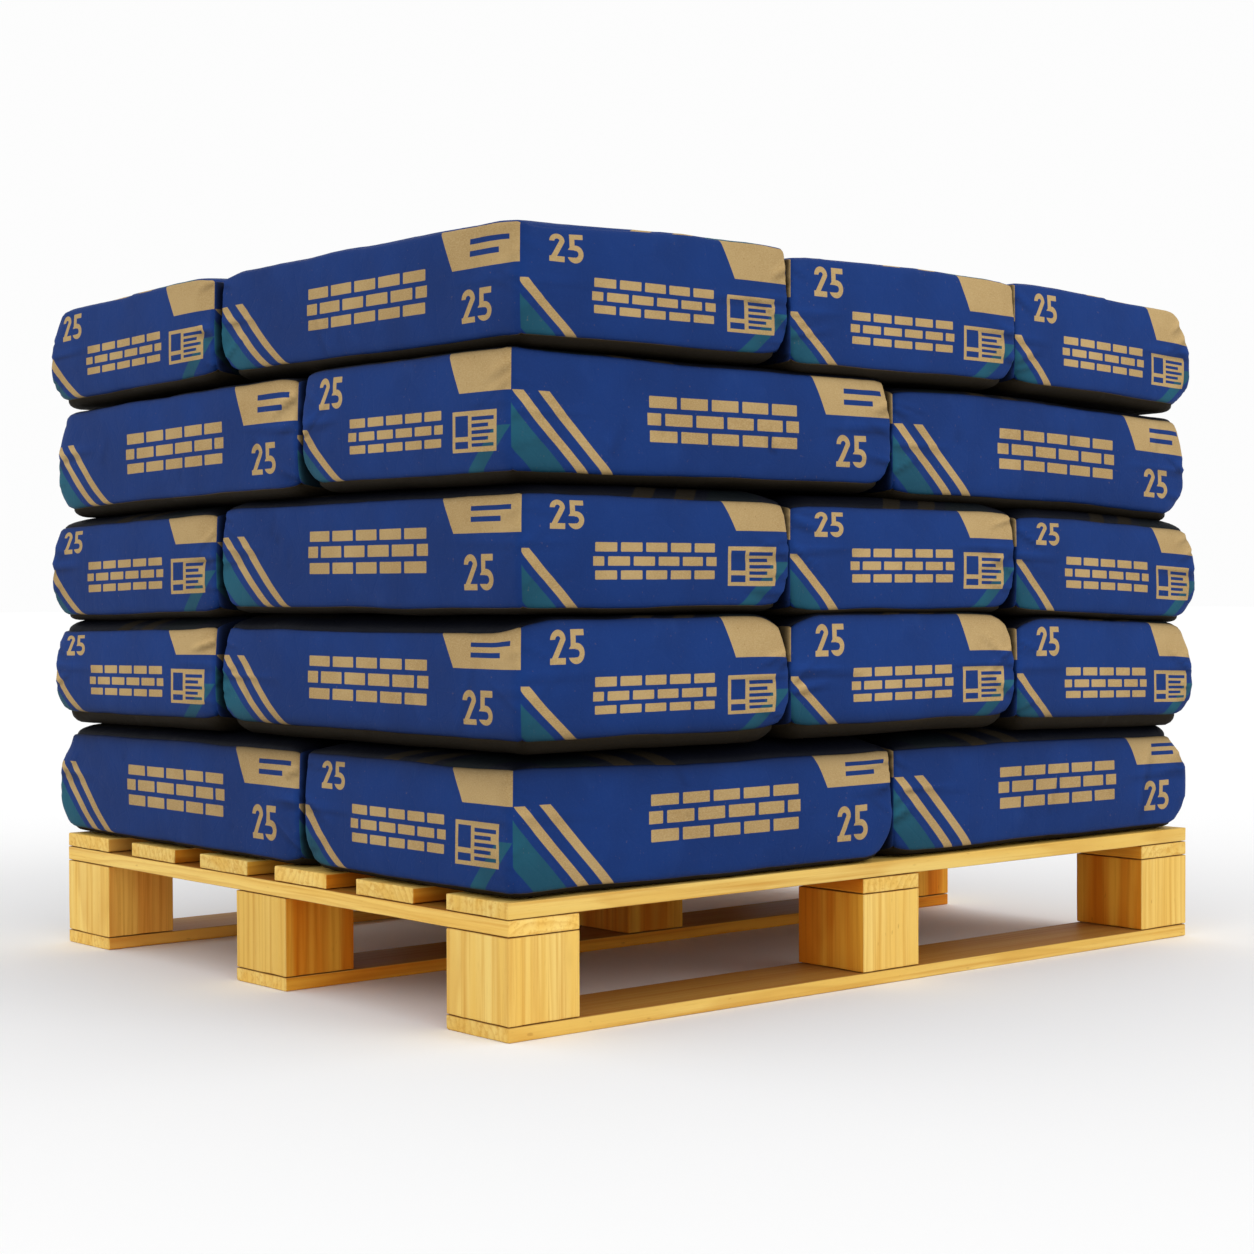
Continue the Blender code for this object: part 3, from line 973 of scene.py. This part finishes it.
def pine_look(name, band_scale):
    """Golden pine: growth bands round the log's middle, long streaks, fine pores and a few specks.
    It has painted shade on its faces inside the pallet, browner and darker there, and it is dark in the seams
    between timbers."""
    look = Look(name)
    log = look.attribute("log", "Vector")
    tone = look.attribute("tone", "Fac")
    inside = look.attribute("inside", "Fac")
    seam = look.attribute("seam", "Fac")
    slow = look.node("ShaderNodeTexNoise", {"Vector": look.vector("MULTIPLY", log, (2.2, 14.0, 14.0)),
                                            "Scale": 1.0, "Detail": 2.0}).outputs[1]
    slow = look.vector("MULTIPLY", look.vector("SUBTRACT", slow, (0.5, 0.5, 0.5)), (0.0, 0.045, 0.045))
    warped = look.vector("ADD", log, slow)
    across = look.vector("MULTIPLY", warped, (0.0, 1.0, 1.0))
    radius = look.vector("LENGTH", across)
    turn = look.math("MULTIPLY", radius, band_scale)
    ring = look.math("FRACT", turn)
    ring = look.math("MULTIPLY", look.math("POWER", ring, 2.5), look.spread(ring, 1.0, 0.80))
    streak = look.noise(look.vector("MULTIPLY", log, (3.0, 160.0, 160.0)), 1.0, 4.0, 0.6)
    broad = look.noise(look.vector("MULTIPLY", log, (2.0, 38.0, 38.0)), 1.0, 2.0, 0.5)
    pore = look.noise(look.vector("MULTIPLY", log, (40.0, 900.0, 900.0)), 1.0, 2.0, 0.5)
    speck = look.noise(look.vector("MULTIPLY", log, (55.0, 170.0, 170.0)), 1.0, 1.0, 0.5)
    knot = look.node("ShaderNodeTexVoronoi", {"Vector": look.vector("MULTIPLY", log, (3.4, 9.0, 9.0)),
                                              "Scale": 1.0}, feature="F1").outputs[0]

    colour = look.mix(look.spread(broad, 0.3, 0.7), PINE, PINE_PALE)
    colour = look.mix(look.math("MULTIPLY", ring, 0.62), colour, PINE_BAND)
    colour = look.mix(look.math("MULTIPLY", look.spread(streak, 0.46, 0.72), 0.65), colour, PINE_BAND)
    colour = look.mix(look.math("MULTIPLY", look.spread(pore, 0.62, 0.80), 0.25), colour, PINE_STREAK)
    colour = look.mix(look.math("MULTIPLY", look.spread(speck, 0.74, 0.84), 0.40), colour, PINE_STREAK)
    colour = look.mix(look.math("MULTIPLY", look.spread(knot, 0.11, 0.02), 0.6), colour, PINE_STREAK)
    # Painted shade, browner and darker, on the faces inside the pallet
    painted_inner_shade = look.mix(look.spread(broad, 0.38, 0.66), PINE_PAINTED_SHADE, PINE_PAINTED_SHADE_PALE)
    colour = look.mix(inside, colour, look.mix(1.0, colour, painted_inner_shade, "MULTIPLY"))
    colour = look.mix(look.math("MULTIPLY", seam, 0.70), colour, PINE_SEAM)
    shade = look.math("MULTIPLY_ADD", tone, 0.14, 0.93)
    grey = look.node("ShaderNodeCombineColor", {0: shade, 1: shade, 2: shade}).outputs[0]
    colour = look.mix(1.0, colour, grey, "MULTIPLY")
    look.feed(look.shader.inputs["Base Color"], colour)

    rough = look.math("MULTIPLY_ADD", streak, 0.22, 0.42)
    look.feed(look.shader.inputs["Roughness"], rough)
    look.shader.inputs["Specular IOR Level"].default_value = 0.05
    normal = look.bump(streak, 0.0004, 0.6)
    normal = look.bump(pore, 0.00015, 0.5, normal)
    look.feed(look.shader.inputs["Normal"], normal)
    return look.material


def make_sacks():
    counts = (
        2 * len(RIM_ROWS) + LONG_MIDDLE - 1,
        2 * len(RIM_ROWS) + SHORT_MIDDLE - 1,
        2 * len(WALL_ROWS) + HEIGHT_MIDDLE - 1,
    )
    grid = BoxGrid(counts, True)
    looks = (side_print(), end_print(), top_print(), bare_paper())
    for layer in range(1, LAYERS + 1):
        for number in range(1, SACKS_IN_LAYER + 1):
            seed = layer * 10 + number
            make_sack(f"sack_{layer}_{number}", layer, grid, looks, seed)


def make_pallet():
    boards = pine_look("pine_board", 95.0)
    blocks = pine_look("pine_block", 80.0)
    seed = 100
    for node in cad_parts:
        if node.startswith("sack"):
            continue
        seed += 10
        if node.startswith("block"):
            make_timber(node, 2, 9 * MM, 9 * MM, blocks, seed)
        elif node.startswith("cross"):
            make_timber(node, 1, 26 * MM, 9 * MM, boards, seed)
        else:
            make_timber(node, 0, 26 * MM, 9 * MM, boards, seed)


def make_camera():
    heading, pitch, roll = CAMERA_HEADING, CAMERA_PITCH, CAMERA_ROLL
    forward = Vector((math.cos(heading) * math.cos(pitch), math.sin(heading) * math.cos(pitch), math.sin(pitch)))
    level = Vector((math.sin(heading), -math.cos(heading), 0.0))
    upright = level.cross(forward)
    right = math.cos(roll) * level + math.sin(roll) * upright
    up = math.cos(roll) * upright - math.sin(roll) * level
    data = bpy.data.cameras.new("camera")
    data.sensor_width = CAMERA_SENSOR
    data.lens = CAMERA_LENS
    camera = bpy.data.objects.new("camera", data)
    bpy.context.scene.collection.objects.link(camera)
    turn = Matrix((right, up, -forward)).transposed().to_4x4()
    camera.matrix_world = Matrix.Translation(CAMERA_PLACE) @ turn
    bpy.context.scene.camera = camera


def make_sun(name, direction, power, softness):
    """Even light from one direction, as from a wide softbox far away."""
    data = bpy.data.lights.new(name, "SUN")
    data.energy = power
    data.angle = softness
    sun = bpy.data.objects.new(name, data)
    sun.rotation_euler = (-Vector(direction)).to_track_quat("-Z", "Y").to_euler()
    bpy.context.scene.collection.objects.link(sun)


def make_studio():
    bpy.ops.mesh.primitive_plane_add(size=80.0, location=(0, 0, 0))
    floor = bpy.context.object
    floor.name = "floor"
    look = Look("studio_floor")
    look.shader.inputs["Base Color"].default_value = (*FLOOR, 1.0)
    look.shader.inputs["Roughness"].default_value = 0.9
    look.shader.inputs["Specular IOR Level"].default_value = 0.0
    floor.data.materials.append(look.material)

    world = bpy.data.worlds.new("studio")
    bpy.context.scene.world = world
    world.use_nodes = True
    backdrop = world.node_tree.nodes["Background"]
    backdrop.inputs["Color"].default_value = (1.0, 1.0, 1.0, 1.0)
    backdrop.inputs["Strength"].default_value = 0.98
    make_sun("key", (0.35, -1.0, 0.75), 0.55, 0.6)
    make_sun("fill", (-1.0, -0.1, 0.75), 0.15, 0.6)
    bpy.context.scene.view_settings.view_transform = "Standard"


make_camera()
make_studio()
make_sacks()
make_pallet()
